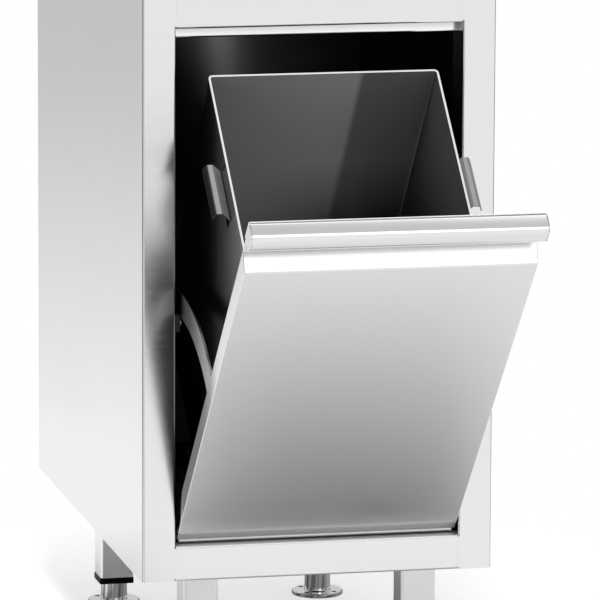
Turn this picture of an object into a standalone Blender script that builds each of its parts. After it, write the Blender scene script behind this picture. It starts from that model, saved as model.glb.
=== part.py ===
"""Stainless-steel waste bin cabinet whose front tilts out on a hinge and carries a lift-out bin.

Metres, +Z up. The origin is on the floor, in the middle of the box round the cabinet and its open front.
The front is modelled closed, and its pivot holds it open on its stop.
"""
from math import asin, atan2, ceil, cos, pi, radians, sin, sqrt, tan

import bmesh
import bpy
from mathutils import Matrix, Vector

# Cabinet body
CABINET_WIDTH = 0.400
CABINET_DEPTH = 0.650
FLOOR_CLEARANCE = 0.150
OPENING_HEIGHT = 0.580
STILE_WIDTH = 0.038
STILE_RETURN = 0.045
RAIL_HEIGHT = 0.040
RAIL_FLANGE = 0.020
RAIL_LIP = 0.014
TOP_HEIGHT = 0.040
TOP_EDGE_RADIUS = 0.002
PANEL_CORNER_RADIUS = 0.003
PANEL_INNER_RADIUS = 0.0008
BACK_FLANGE = 0.020
FLOOR_EDGE = 0.025
STIFFENER_WIDTH = 0.060
STIFFENER_HEIGHT = 0.018
STIFFENER_FLANGE = 0.020
STOP_DROP = 0.013
STOP_FOLD = 0.010

# Sheet, folds and clearances
SHEET = 0.0012
BEND = 0.0015
FIT = 0.0003
SEAM = 0.0001
EDGE_ROUND = 0.0008
CUTTER_OVERRUN = 0.002

# Legs and feet
LEG_SIZE = 0.040
LEG_WALL = 0.002
LEG_CORNER = 0.0035
LEG_INSET_SIDE = 0.0545
LEG_INSET_FRONT = 0.0375
LEG_INSET_REAR = 0.076
LEG_PLATE_MARGIN = 0.018
LEG_PLATE_THICKNESS = 0.003
INSERT_COLLAR = 0.0067
INSERT_OVERHANG = 0.0008
INSERT_PLUG = 0.020
FOOT_HEIGHT = 0.027
STEM_DIAMETER = 0.031
FLANGE_DIAMETER = 0.062
FLANGE_THICKNESS = 0.005
FLANGE_CHAMFER = 0.001
FLANGE_HOLE_DIAMETER = 0.0065
FLANGE_HOLE_CIRCLE = 0.0475
FLANGE_HOLES = 4
SPINDLE_DIAMETER = 0.012
SPINDLE_LENGTH = 0.048

# Tilting front
OPEN_ANGLE = 44.5
FRONT_DEPTH = 0.022
FRONT_SIDE_GAP = 0.0026
FRONT_BOTTOM_GAP = 0.0065
FRONT_TOP_GAP = 0.003
LOWER_RETURN = 0.014
RETURN_CUT_HEIGHT = 0.046
RETURN_CUT_TOE = 0.008
RETURN_TOE_DEPTH = 0.005
RECESS_HEIGHT = 0.0627
RECESS_SLOPE = radians(60)
INNER_PANEL_MARGIN = 0.0048
GRIP_HEIGHT = 0.026
GRIP_PROUD = 0.001
GRIP_LIP = 0.010
GRIP_LAP = 0.016
GRIP_TOP_RADIUS = 0.005
GRIP_LOWER_RADIUS = 0.007

# Hinge at the lower corners of the front
HINGE_RISE = 0.0095
PIN_DIAMETER = 0.006
PIN_TAIL = 0.005
WASHER_DIAMETER = 0.0095
HINGE_BLOCK_LENGTH = 0.012
HINGE_BLOCK_HEIGHT = 0.012

# Stay arms, their stop blocks and buffers
ARM_RADIUS = 0.258
ARM_WIDTH = 0.028
ARM_THICKNESS = 0.003
ARM_HOOK_REACH = 0.017
ARM_HOOK_WIDTH = 0.012
STOP_GAP = 0.0025
STOP_HEIGHT = 0.019
STOP_LENGTH = 0.013
STOP_REACH = 0.010
STOP_SETBACK = 0.0045
BUFFER_THICKNESS = 0.003
BUFFER_INSET = 0.002
BUFFER_SIDE_INSET = 0.001
SCREW_HEAD_DIAMETER = 0.007
SCREW_HEAD_HEIGHT = 0.002

# Bin and its carrier
BIN_DEPTH = 0.294
BIN_LEAN = 3.8
BIN_TOE_GAP = 0.009
BIN_FLOOR_RISE = 0.034
BIN_SWING_CLEARANCE = 0.036
BIN_CORNER_RADIUS = 0.004
BIN_FOOT_RADIUS = 0.002
BIN_HEM_HEIGHT = 0.010
HANDLE_SPACE = 0.0042
HANDLE_LENGTH = 0.070
HANDLE_REACH = 0.022
HANDLE_RISE = 0.0125
HANDLE_TOP = 0.008
HANDLE_EDGE_OUT = 0.0035
HANDLE_EDGE_DROP = 0.0085
HANDLE_FLANGE = 0.014
HANDLE_BELOW_RIM = 0.0305
CARRIER_SHEET = 0.0015
CARRIER_FLANGE = 0.110
CARRIER_LIP = 0.030
REST_RAIL_BELOW_RIM = 0.0886
REST_RAIL_FACE = 0.030
REST_RAIL_FLANGE = 0.018
REST_RAIL_INSET = 0.020
RIVET_DIAMETER = 0.008
RIVET_CROWN_DIAMETER = 0.0054
RIVET_HEIGHT = 0.002
RIVET_EDGE = 0.020

# Roundness of arcs and turned pieces
ARC_STEP = radians(24)
STAY_STEP = radians(4)
SMOOTH_ANGLE = radians(35)
ROUND_SIDES = 24
SMALL_SIDES = 12
CORNER_STEPS = 4
EDGE_STEPS = 3

# Sizes that follow from the driving dimensions
SIDES = {"left": -1, "right": 1}
HALF_WIDTH = CABINET_WIDTH / 2
BODY_HEIGHT = OPENING_HEIGHT + 2 * RAIL_HEIGHT
OPENING_TOP = RAIL_HEIGHT + OPENING_HEIGHT
OPENING_HALF = HALF_WIDTH - STILE_WIDTH
INNER_HALF = HALF_WIDTH - SHEET - FIT
BACK_HALF = INNER_HALF - BEND
FLOOR_FRONT = STILE_RETURN + FIT
BACK_FACE = CABINET_DEPTH - 2 * SHEET - FIT
FLOOR_REAR = BACK_FACE - FIT
FRONT_HALF = OPENING_HALF - FRONT_SIDE_GAP
FRONT_LENGTH = OPENING_HEIGHT - FRONT_BOTTOM_GAP - FRONT_TOP_GAP
RECESS_START = FRONT_LENGTH - RECESS_HEIGHT
STRIP_FACE = FRONT_DEPTH - SHEET
HINGE_SETBACK = SHEET + BEND + FIT + PIN_DIAMETER / 2
HINGE_HEIGHT = RAIL_HEIGHT + FRONT_BOTTOM_GAP + HINGE_RISE
BORE_RADIUS = PIN_DIAMETER / 2 + FIT
TILT = radians(OPEN_ANGLE)
ARM_OUTER_FACE = FRONT_HALF - SHEET - FIT
ARM_INNER_FACE = ARM_OUTER_FACE - ARM_THICKNESS
ARM_INSIDE = ARM_RADIUS - ARM_WIDTH / 2
ARM_OUTSIDE = ARM_RADIUS + ARM_WIDTH / 2
STOP_OUTSIDE = ARM_INSIDE - STOP_GAP
STOP_INSIDE = STOP_OUTSIDE - STOP_HEIGHT
STOP_MIDDLE = (STOP_INSIDE + STOP_OUTSIDE) / 2
STOP_START = asin((FRONT_DEPTH + STOP_SETBACK - HINGE_SETBACK) / STOP_INSIDE)
STOP_END = STOP_START + STOP_LENGTH / STOP_MIDDLE
BUFFER_START = STOP_END + FIT / STOP_MIDDLE
BUFFER_END = BUFFER_START + BUFFER_THICKNESS / STOP_MIDDLE
HOOK_START = BUFFER_END + FIT / STOP_MIDDLE + TILT
HOOK_END = HOOK_START + ARM_HOOK_WIDTH / STOP_MIDDLE
BIN_HALF = ARM_INNER_FACE - HANDLE_SPACE - HANDLE_REACH
LEAN = radians(BIN_LEAN)
BIN_BACK_WAY = Vector((cos(LEAN), -sin(LEAN)))
BIN_UP_WAY = Vector((sin(LEAN), cos(LEAN)))
BIN_CORNER = Vector((FRONT_DEPTH + BIN_TOE_GAP - HINGE_SETBACK, BIN_FLOOR_RISE - HINGE_RISE))
LEG_X = HALF_WIDTH - LEG_INSET_SIDE - LEG_SIZE / 2
LEG_Y = {"front": LEG_INSET_FRONT + LEG_SIZE / 2, "rear": CABINET_DEPTH - LEG_INSET_REAR - LEG_SIZE / 2}
STEM_TOP = FOOT_HEIGHT - FLOOR_CLEARANCE
INSERT_BOTTOM = STEM_TOP + FIT
LEG_BOTTOM = INSERT_BOTTOM + INSERT_COLLAR + FIT
PLATE_TOP = -FIT
PLATE_BOTTOM = PLATE_TOP - LEG_PLATE_THICKNESS
LEG_TOP = PLATE_BOTTOM - FIT
PLATE_HALF = LEG_SIZE / 2 + LEG_PLATE_MARGIN

# Finishes: colour, roughness, metallic
STEEL = ((0.78, 0.79, 0.79), 0.32, 1.0)
BRIGHT_STEEL = ((0.82, 0.82, 0.82), 0.22, 1.0)
BLACK_PLASTIC = ((0.02, 0.02, 0.02), 0.45, 0.0)
WHITE_PLASTIC = ((0.80, 0.80, 0.76), 0.50, 0.0)
RUBBER = ((0.03, 0.03, 0.03), 0.80, 0.0)


def shifted(path, distance):
    """The path moved to its left by a distance, with mitred corners."""
    points = [Vector(point) for point in path]
    ways = [(after - before).normalized() for before, after in zip(points, points[1:])]
    normals = [Vector((-way.y, way.x)) for way in ways]
    moved = [points[0] + normals[0] * distance]
    for point, before, after in zip(points[1:], normals, normals[1:]):
        moved.append(point + (before + after) * distance / (1 + before.dot(after)))
    moved.append(points[-1] + normals[-1] * distance)
    return moved


def corner_turns(path):
    """Angle that the path turns by at each inner corner, positive to the left."""
    points = [Vector(point) for point in path]
    turns = []
    for before, corner, after in zip(points, points[1:], points[2:]):
        into = corner - before
        out = after - corner
        turns.append(atan2(into.x * out.y - into.y * out.x, into.dot(out)))
    return turns


def rounded(path, radii):
    """The path with an arc of the given radius at each inner corner."""
    points = [Vector(point) for point in path]
    result = [points[0]]
    for before, corner, radius, turn in zip(points, points[1:], radii, corner_turns(points)):
        into = (corner - before).normalized()
        start = corner - into * radius * tan(abs(turn) / 2)
        to_centre = Vector((-into.y, into.x)) * radius * (1 if turn > 0 else -1)
        steps = ceil(abs(turn) / ARC_STEP)
        for step in range(steps + 1):
            result.append(start + to_centre - Matrix.Rotation(turn * step / steps, 2) @ to_centre)
    result.append(points[-1])
    return result


def folded_sheet(path, thickness, bends, inset=0.0):
    """Outline of a folded sheet lying to the left of its path, its path side set in by inset."""
    turns = corner_turns(path)
    face_radii = []
    back_radii = []
    for turn, bend in zip(turns, bends):
        outside = turn > 0
        face_radii.append(bend + (thickness - inset if outside else inset))
        back_radii.append(bend + (0 if outside else thickness))
    face = rounded(shifted(path, inset), face_radii)
    back = rounded(shifted(path, thickness), back_radii)
    return face + back[::-1]


def plain_sheet(path, thickness=SHEET):
    """Outline of a sheet with the usual bend at every fold."""
    return folded_sheet(path, thickness, [BEND] * (len(path) - 2))


def circle(radius, sides, centre=(0.0, 0.0)):
    """Points round a circle."""
    turns = [2 * pi * (i + 0.5) / sides for i in range(sides)]
    return [(centre[0] + radius * cos(turn), centre[1] + radius * sin(turn)) for turn in turns]


def rounded_rectangle(width, depth, radius, centre=(0.0, 0.0)):
    """Points round a rectangle with round corners."""
    points = []
    for quarter, (across, along_way) in enumerate(((1, 1), (-1, 1), (-1, -1), (1, -1))):
        middle_x = centre[0] + across * (width / 2 - radius)
        middle_y = centre[1] + along_way * (depth / 2 - radius)
        for step in range(CORNER_STEPS + 1):
            turn = pi / 2 * (quarter + step / CORNER_STEPS)
            points.append((middle_x + radius * cos(turn), middle_y + radius * sin(turn)))
    return points


def quarter_turns():
    """Angles across a rounded edge, from nothing to a right angle."""
    return [pi / 2 * step / EDGE_STEPS for step in range(EDGE_STEPS + 1)]


def placed(outline, position, axis):
    """An outline as a ring of points at a position along an axis."""
    ring = []
    for first, second in outline:
        point = [first, second]
        point.insert(axis, position)
        ring.append(tuple(point))
    return ring


def loft(rings, loop=False, shape=None):
    """Closed mesh through rings of equal length, capped at the ends or joined back to the first ring."""
    shape = shape or bmesh.new()
    rows = [[shape.verts.new(point) for point in ring] for ring in rings]
    pairs = list(zip(rows, rows[1:]))
    faces = []
    if loop:
        pairs.append((rows[-1], rows[0]))
    else:
        faces.append(shape.faces.new(rows[0]))
        faces.append(shape.faces.new(rows[-1]))
    for low, high in pairs:
        for i in range(len(low)):
            faces.append(shape.faces.new((low[i - 1], low[i], high[i], high[i - 1])))
    bmesh.ops.recalc_face_normals(shape, faces=faces)
    return shape


def prism(outline, start, stop, axis=0, shape=None):
    """An outline drawn out along an axis."""
    return loft([placed(outline, start, axis), placed(outline, stop, axis)], shape=shape)


def turned(profile, axis, sides=SMALL_SIDES, centre=(0.0, 0.0), shape=None):
    """Round solid from pairs of a position along the axis and a radius."""
    rings = [placed(circle(radius, sides, centre), position, axis) for position, radius in profile]
    return loft(rings, shape=shape)


def add(name, shape, finish, parent, location=(0.0, 0.0, 0.0)):
    """Object of a finished shape with its own material."""
    mesh = bpy.data.meshes.new(name)
    shape.to_mesh(mesh)
    shape.free()
    mesh.shade_smooth()
    mesh.set_sharp_from_angle(angle=SMOOTH_ANGLE)
    colour, roughness, metallic = finish
    material = bpy.data.materials.new(name)
    material.use_nodes = True
    shader = material.node_tree.nodes["Principled BSDF"]
    shader.inputs["Base Color"].default_value = (*colour, 1.0)
    shader.inputs["Roughness"].default_value = roughness
    shader.inputs["Metallic"].default_value = metallic
    mesh.materials.append(material)
    item = bpy.data.objects.new(name, mesh)
    bpy.context.scene.collection.objects.link(item)
    item.parent = parent
    item.location = location
    return item


def combine(target, shape, operation):
    """Cuts a shape out of an object, or joins it on."""
    tool = add(f"{target.name}_{operation.lower()}", shape, STEEL, target.parent, target.location)
    tool.hide_render = True
    tool.display_type = "WIRE"
    change = target.modifiers.new(operation.lower(), "BOOLEAN")
    change.operation = operation
    change.object = tool


def empty(name, parent=None, location=(0.0, 0.0, 0.0), turn=0.0):
    """Empty that carries pieces, turned about X."""
    holder = bpy.data.objects.new(name, None)
    bpy.context.scene.collection.objects.link(holder)
    holder.parent = parent
    holder.location = location
    holder.rotation_euler = (turn, 0.0, 0.0)
    return holder


def on_front(rise, out):
    """Place on the closed front, up from its lower edge and out of its face, about the hinge axis."""
    return Vector((-out - HINGE_SETBACK, rise - HINGE_RISE))


def on_bin(back, up):
    """Place in the bin's own directions from its lower front edge, about the hinge axis."""
    return BIN_CORNER + BIN_BACK_WAY * back + BIN_UP_WAY * up


def on_arc(radius, angle):
    """Place at a radius and an angle back from upright, about the hinge axis."""
    return Vector((radius * sin(angle), radius * cos(angle)))


def arc(radius, start, stop):
    """Points along an arc about the hinge axis."""
    steps = ceil(abs(stop - start) / STAY_STEP)
    return [on_arc(radius, start + (stop - start) * i / steps) for i in range(steps + 1)]


def bin_height():
    """Bin height at which the swinging back of its rim clears the stop strip."""
    reach = OPENING_TOP - STOP_DROP - HINGE_HEIGHT - BIN_SWING_CLEARANCE
    foot = on_bin(BIN_DEPTH + SHEET, 0)
    rise = foot.dot(BIN_UP_WAY)
    return sqrt(rise ** 2 - foot.length_squared + reach ** 2) - rise


def grip_path():
    """Outer side of the grip, from its back leg over the top and down to the lip, about the hinge axis."""
    low = FRONT_LENGTH - GRIP_HEIGHT
    back = FIT - STRIP_FACE
    return [
        on_front(low, GRIP_PROUD - GRIP_LIP),
        on_front(low, GRIP_PROUD),
        on_front(FRONT_LENGTH, GRIP_PROUD),
        on_front(FRONT_LENGTH, back),
        on_front(FRONT_LENGTH - GRIP_LAP, back),
    ][::-1]


def grip_outline():
    """Section of the grip."""
    return folded_sheet(grip_path(), SHEET, [BEND, GRIP_TOP_RADIUS, GRIP_LOWER_RADIUS])


def front_reach():
    """Foremost place of the open front, from the front plane of the cabinet."""
    return HINGE_SETBACK + min(point.x * cos(TILT) - point.y * sin(TILT) for point in grip_outline())


def make_side_panels(cabinet):
    """Side panels folded round the front edge into the stiles, drilled for the hinge pins."""
    path = [
        (OPENING_HALF, STILE_RETURN),
        (OPENING_HALF, 0),
        (HALF_WIDTH, 0),
        (HALF_WIDTH, CABINET_DEPTH),
        (HALF_WIDTH - BACK_FLANGE, CABINET_DEPTH),
    ]
    for word, side in SIDES.items():
        outline = [(side * x, y) for x, y in plain_sheet(path)]
        panel = add(f"side_panel_{word}", prism(outline, 0, BODY_HEIGHT, axis=2), STEEL, cabinet)
        bore = [(side * (OPENING_HALF - CUTTER_OVERRUN), BORE_RADIUS)]
        bore.append((side * (OPENING_HALF + SHEET + CUTTER_OVERRUN), BORE_RADIUS))
        combine(panel, turned(bore, 0, centre=(HINGE_SETBACK, HINGE_HEIGHT)), "DIFFERENCE")


def make_rails(cabinet):
    """Front rails between the stiles, and the strip that the closed front meets."""
    lower = [(FRONT_DEPTH, RAIL_HEIGHT), (0, RAIL_HEIGHT), (0, 0), (STILE_RETURN, 0)]
    upper = [
        (RAIL_FLANGE, BODY_HEIGHT),
        (0, BODY_HEIGHT),
        (0, OPENING_TOP),
        (FRONT_DEPTH, OPENING_TOP),
        (FRONT_DEPTH, OPENING_TOP + RAIL_LIP),
    ]
    stop_face = FRONT_DEPTH + FIT
    strip = [
        (stop_face, OPENING_TOP + RAIL_LIP),
        (stop_face, OPENING_TOP - STOP_DROP),
        (stop_face + STOP_FOLD, OPENING_TOP - STOP_DROP),
    ]
    reach = OPENING_HALF - FIT
    for name, path in (("bottom_rail", lower), ("top_rail", upper), ("front_stop_strip", strip)):
        add(name, prism(plain_sheet(path), -reach, reach), STEEL, cabinet)


def make_top_panel(cabinet):
    """Top panel with edges folded down on all four sides."""
    middle = (0, CABINET_DEPTH / 2)
    base = BODY_HEIGHT + FIT
    top = BODY_HEIGHT + TOP_HEIGHT

    def ring(inset, height):
        size = (CABINET_WIDTH - 2 * inset, CABINET_DEPTH - 2 * inset)
        radius = max(PANEL_CORNER_RADIUS - inset, PANEL_INNER_RADIUS)
        return placed(rounded_rectangle(*size, radius, middle), height, 2)

    rings = [ring(SHEET, top - SHEET), ring(SHEET, base), ring(0, base)]
    for turn in quarter_turns():
        inset = TOP_EDGE_RADIUS * (1 - cos(turn))
        rings.append(ring(inset, top - TOP_EDGE_RADIUS * (1 - sin(turn))))
    add("top_panel", loft(rings), STEEL, cabinet)


def make_back_and_floor(cabinet):
    """Back panel, floor tray and the stiffener along its middle."""
    back = [(-BACK_HALF, BACK_FACE), (BACK_HALF, BACK_FACE)]
    outline = folded_sheet(back, SHEET, [])
    add("back_panel", prism(outline, 0, BODY_HEIGHT, axis=2), STEEL, cabinet)

    middle = (0, (FLOOR_FRONT + FLOOR_REAR) / 2)
    width = 2 * INNER_HALF
    depth = FLOOR_REAR - FLOOR_FRONT

    def ring(inset, height):
        radius = PANEL_CORNER_RADIUS - inset
        return placed(rounded_rectangle(width - 2 * inset, depth - 2 * inset, radius, middle), height, 2)

    rings = [ring(0, 0), ring(0, FLOOR_EDGE), ring(SHEET, FLOOR_EDGE), ring(SHEET, SHEET)]
    add("floor_panel", loft(rings), STEEL, cabinet)

    low = SHEET + FIT
    high = low + STIFFENER_HEIGHT
    half = STIFFENER_WIDTH / 2
    edge = half + STIFFENER_FLANGE
    hat = [(-edge, low), (-half, low), (-half, high), (half, high), (half, low), (edge, low)]
    start = FLOOR_FRONT + SHEET + FIT
    stop = FLOOR_REAR - SHEET - FIT
    add("floor_stiffener", prism(plain_sheet(hat), start, stop, axis=1), STEEL, cabinet)


def leg_places():
    """Name and middle of each leg."""
    return {f"{end}_{word}": (side * LEG_X, y) for end, y in LEG_Y.items() for word, side in SIDES.items()}


def make_legs(cabinet):
    """Square legs with their plates and plastic inserts."""
    inner = LEG_SIZE - 2 * LEG_WALL
    collar = LEG_SIZE + 2 * INSERT_OVERHANG
    plug = inner - 2 * FIT
    plug_top = LEG_BOTTOM + INSERT_PLUG
    for word, (x, y) in leg_places().items():
        place = (x, y, 0)
        plate = rounded_rectangle(2 * PLATE_HALF, 2 * PLATE_HALF, LEG_CORNER)
        add(f"leg_plate_{word}", prism(plate, PLATE_BOTTOM, PLATE_TOP, axis=2), STEEL, cabinet, place)

        outside = rounded_rectangle(LEG_SIZE, LEG_SIZE, LEG_CORNER)
        inside = rounded_rectangle(inner, inner, LEG_CORNER - LEG_WALL)
        tube = [(outside, LEG_BOTTOM), (outside, LEG_TOP), (inside, LEG_TOP), (inside, LEG_BOTTOM)]
        rings = [placed(outline, height, 2) for outline, height in tube]
        add(f"leg_{word}", loft(rings, loop=True), STEEL, cabinet, place)

        wide = rounded_rectangle(collar, collar, LEG_CORNER)
        narrow = rounded_rectangle(plug, plug, LEG_CORNER - LEG_WALL)
        bore = circle(SPINDLE_DIAMETER / 2 + FIT, len(wide))
        collar_top = INSERT_BOTTOM + INSERT_COLLAR
        insert = [
            (wide, INSERT_BOTTOM),
            (wide, collar_top),
            (narrow, collar_top),
            (narrow, plug_top),
            (bore, plug_top),
            (bore, INSERT_BOTTOM),
        ]
        rings = [placed(outline, height, 2) for outline, height in insert]
        add(f"leg_insert_{word}", loft(rings, loop=True), BLACK_PLASTIC, cabinet, place)


def make_feet(cabinet):
    """Feet with a threaded spindle, a stem and a drilled floor flange."""
    floor = -FLOOR_CLEARANCE
    flange_top = floor + FLANGE_THICKNESS
    rim = FLANGE_DIAMETER / 2
    stem = STEM_DIAMETER / 2
    profile = [
        (floor, rim - FLANGE_CHAMFER),
        (floor + FLANGE_CHAMFER, rim),
        (flange_top - FLANGE_CHAMFER, rim),
        (flange_top, rim - FLANGE_CHAMFER),
        (flange_top, stem + FLANGE_CHAMFER),
        (flange_top + FLANGE_CHAMFER, stem),
        (STEM_TOP, stem),
        (STEM_TOP, SPINDLE_DIAMETER / 2),
        (STEM_TOP + SPINDLE_LENGTH, SPINDLE_DIAMETER / 2),
    ]
    hole_radius = FLANGE_HOLE_DIAMETER / 2
    hole = [(floor - CUTTER_OVERRUN, hole_radius), (flange_top + CUTTER_OVERRUN, hole_radius)]
    for word, (x, y) in leg_places().items():
        foot = add(f"foot_{word}", turned(profile, 2, ROUND_SIDES), BRIGHT_STEEL, cabinet, (x, y, 0))
        holes = bmesh.new()
        for centre in circle(FLANGE_HOLE_CIRCLE / 2, FLANGE_HOLES):
            turned(hole, 2, centre=centre, shape=holes)
        combine(foot, holes, "DIFFERENCE")


def make_front_skin(pivot):
    """Front sheet with its lower return, finger recess and back strip, and the returns at its sides."""
    path = [
        on_front(FRONT_LENGTH, -STRIP_FACE),
        on_front(RECESS_START + STRIP_FACE / tan(RECESS_SLOPE), -STRIP_FACE),
        on_front(RECESS_START, 0),
        on_front(0, 0),
        on_front(0, -LOWER_RETURN),
    ]
    bends = [BEND] * 3
    half = []
    for turn in quarter_turns():
        half.append((FRONT_HALF - EDGE_ROUND * (1 - sin(turn)), EDGE_ROUND * (1 - cos(turn))))
    stations = [(-x, inset) for x, inset in half[::-1]] + half
    rings = [placed(folded_sheet(path, SHEET, bends, inset), x, 0) for x, inset in stations]
    skin = add("front_skin", loft(rings), STEEL, pivot)

    lap = (SHEET + EDGE_ROUND) / 2
    back = SEAM - FRONT_DEPTH
    side_return = [
        on_front(RETURN_CUT_TOE, -lap),
        on_front(RECESS_START - lap * tan(RECESS_SLOPE / 2), -lap),
        on_front(RECESS_START - (lap + back * cos(RECESS_SLOPE)) / sin(RECESS_SLOPE), back),
        on_front(RETURN_CUT_HEIGHT, back),
        on_front(RETURN_CUT_TOE, -RETURN_TOE_DEPTH),
    ]
    returns = bmesh.new()
    bores = bmesh.new()
    for side in SIDES.values():
        outer = side * (FRONT_HALF - SEAM)
        inner = side * (FRONT_HALF - SHEET)
        prism(side_return, inner, outer, shape=returns)
        overrun = side * CUTTER_OVERRUN
        bore = [(inner - overrun, BORE_RADIUS), (outer + overrun, BORE_RADIUS)]
        turned(bore, 0, shape=bores)
    combine(skin, returns, "UNION")
    combine(skin, bores, "DIFFERENCE")


def make_inner_panel(pivot):
    """Panel that closes the back of the front between the stay arms."""
    half = ARM_INNER_FACE - FIT
    top = RECESS_START + FRONT_DEPTH / tan(RECESS_SLOPE) - INNER_PANEL_MARGIN
    path = [on_front(RETURN_CUT_HEIGHT, -FRONT_DEPTH), on_front(top, -FRONT_DEPTH)]
    add("front_inner_panel", prism(folded_sheet(path, SHEET, []), -half, half), STEEL, pivot)


def make_grip(pivot):
    """Rolled grip along the top of the front and the plates that close its ends."""
    add("pull_grip", prism(grip_outline(), -FRONT_HALF, FRONT_HALF), STEEL, pivot)
    low = FRONT_LENGTH - GRIP_HEIGHT
    path = [
        on_front(low, -FRONT_DEPTH),
        on_front(low, GRIP_PROUD),
        on_front(FRONT_LENGTH, GRIP_PROUD),
        on_front(FRONT_LENGTH, -FRONT_DEPTH),
    ]
    outline = rounded(path, [GRIP_LOWER_RADIUS + SHEET, GRIP_TOP_RADIUS + SHEET])
    for word, side in SIDES.items():
        inner = side * (FRONT_HALF + FIT)
        add(f"grip_end_{word}", prism(outline, inner, inner + side * SHEET), STEEL, pivot)


def make_hinges(cabinet, pivot):
    """Pins fixed in the stiles, spacer washers, and bearing blocks in the lower corners of the front."""
    axis = (0, HINGE_SETBACK, HINGE_HEIGHT)
    pin_radius = PIN_DIAMETER / 2
    block_outer = FRONT_HALF - SHEET - FIT
    block_inner = block_outer - HINGE_BLOCK_LENGTH
    tail = OPENING_HALF + SHEET + PIN_TAIL
    half_block = HINGE_SETBACK - SHEET - FIT
    block_low = SHEET + BEND + FIT - HINGE_RISE
    for word, side in SIDES.items():
        shank = [(side * block_inner, pin_radius), (side * tail, pin_radius)]
        add(f"hinge_pin_{word}", turned(shank, 0), BRIGHT_STEEL, cabinet, axis)

        bore = circle(BORE_RADIUS, SMALL_SIDES)
        rim = circle(WASHER_DIAMETER / 2, SMALL_SIDES)
        near = side * (FRONT_HALF + FIT)
        far = side * (OPENING_HALF - FIT)
        rings = [placed(rim, near, 0), placed(rim, far, 0), placed(bore, far, 0), placed(bore, near, 0)]
        add(f"hinge_washer_{word}", loft(rings, loop=True), BLACK_PLASTIC, cabinet, axis)

        block = [
            (-half_block, block_low),
            (half_block, block_low),
            (half_block, HINGE_BLOCK_HEIGHT),
            (-half_block, HINGE_BLOCK_HEIGHT),
        ]
        shape = prism(block, side * block_inner, side * block_outer)
        piece = add(f"hinge_block_{word}", shape, WHITE_PLASTIC, pivot)
        hole = [
            (side * (block_inner - CUTTER_OVERRUN), BORE_RADIUS),
            (side * (block_outer + CUTTER_OVERRUN), BORE_RADIUS),
        ]
        combine(piece, turned(hole, 0), "DIFFERENCE")


def make_stays(cabinet, pivot):
    """Curved stay arms on the front, and the stop blocks with buffers that their hooks meet."""
    front_end = asin((SHEET + FIT - HINGE_SETBACK) / ARM_OUTSIDE)
    hook_inside = ARM_INSIDE - ARM_HOOK_REACH
    arm = arc(ARM_OUTSIDE, front_end, HOOK_END)
    arm += [on_arc(hook_inside, HOOK_END), on_arc(hook_inside, HOOK_START)]
    arm += arc(ARM_INSIDE, HOOK_START, front_end)

    def wedge(inside, outside, start, stop):
        return [on_arc(inside, start), on_arc(outside, start), on_arc(outside, stop), on_arc(inside, stop)]

    block = wedge(STOP_INSIDE, STOP_OUTSIDE, STOP_START, STOP_END)
    buffer = wedge(STOP_INSIDE + BUFFER_INSET, STOP_OUTSIDE - BUFFER_INSET, BUFFER_START, BUFFER_END)
    axis = (0, HINGE_SETBACK, HINGE_HEIGHT)
    block_outer = OPENING_HALF - FIT
    block_inner = block_outer - STOP_REACH
    screw_face = block_inner - FIT
    screw_middle = on_arc(STOP_MIDDLE, (STOP_START + STOP_END) / 2)
    for word, side in SIDES.items():
        shape = prism(arm, side * ARM_INNER_FACE, side * ARM_OUTER_FACE)
        add(f"stay_arm_{word}", shape, BRIGHT_STEEL, pivot)
        shape = prism(block, side * block_inner, side * block_outer)
        add(f"stop_block_{word}", shape, STEEL, cabinet, axis)
        inset = side * BUFFER_SIDE_INSET
        shape = prism(buffer, side * block_inner + inset, side * block_outer - inset)
        add(f"stop_buffer_{word}", shape, RUBBER, cabinet, axis)
        head = [
            (side * screw_face, SCREW_HEAD_DIAMETER / 2),
            (side * (screw_face - SCREW_HEAD_HEIGHT), SCREW_HEAD_DIAMETER / 2),
        ]
        add(f"stop_screw_{word}", turned(head, 0, centre=screw_middle), BRIGHT_STEEL, cabinet, axis)


def make_carrier(pivot):
    """Carrier that the bin stands in, with its cheeks, its rivets and the rail that the bin rests against."""
    face = FRONT_DEPTH + FIT + CARRIER_SHEET - HINGE_SETBACK
    flange_top = CARRIER_FLANGE - HINGE_RISE
    start = on_bin(0, -FIT)
    heel = start + BIN_BACK_WAY * ((face - start.x) / BIN_BACK_WAY.x)
    toe = on_bin(BIN_DEPTH + FIT, -FIT)
    lip = on_bin(BIN_DEPTH + FIT, CARRIER_LIP)
    path = [lip, toe, heel, Vector((face, flange_top))]
    under = shifted(path, CARRIER_SHEET)
    add("carrier_base", prism(plain_sheet(path, CARRIER_SHEET), -BIN_HALF, BIN_HALF), STEEL, pivot)
    for word, side in SIDES.items():
        inner = side * (BIN_HALF + FIT)
        shape = prism(under, inner, inner + side * CARRIER_SHEET)
        add(f"carrier_cheek_{word}", shape, STEEL, pivot)

    head = [(face + FIT, RIVET_DIAMETER / 2), (face + FIT + RIVET_HEIGHT, RIVET_CROWN_DIAMETER / 2)]
    places = {"left": RIVET_EDGE - BIN_HALF, "middle": 0, "right": BIN_HALF - RIVET_EDGE}
    for word, across in places.items():
        shape = turned(head, 1, centre=(across, flange_top - RIVET_EDGE))
        add(f"carrier_rivet_{word}", shape, BRIGHT_STEEL, pivot)

    rail_height = bin_height() - REST_RAIL_BELOW_RIM
    low = on_bin(-FIT, rail_height)
    high = on_bin(-FIT, rail_height + REST_RAIL_FACE)
    back = FRONT_DEPTH + FIT + SHEET - HINGE_SETBACK
    hat = [
        (back, low.y - REST_RAIL_FLANGE),
        (back, low.y),
        low,
        high,
        (back, high.y),
        (back, high.y + REST_RAIL_FLANGE),
    ]
    reach = BIN_HALF - REST_RAIL_INSET
    add("bin_rest_rail", prism(plain_sheet(hat), -reach, reach), STEEL, pivot)


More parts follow.
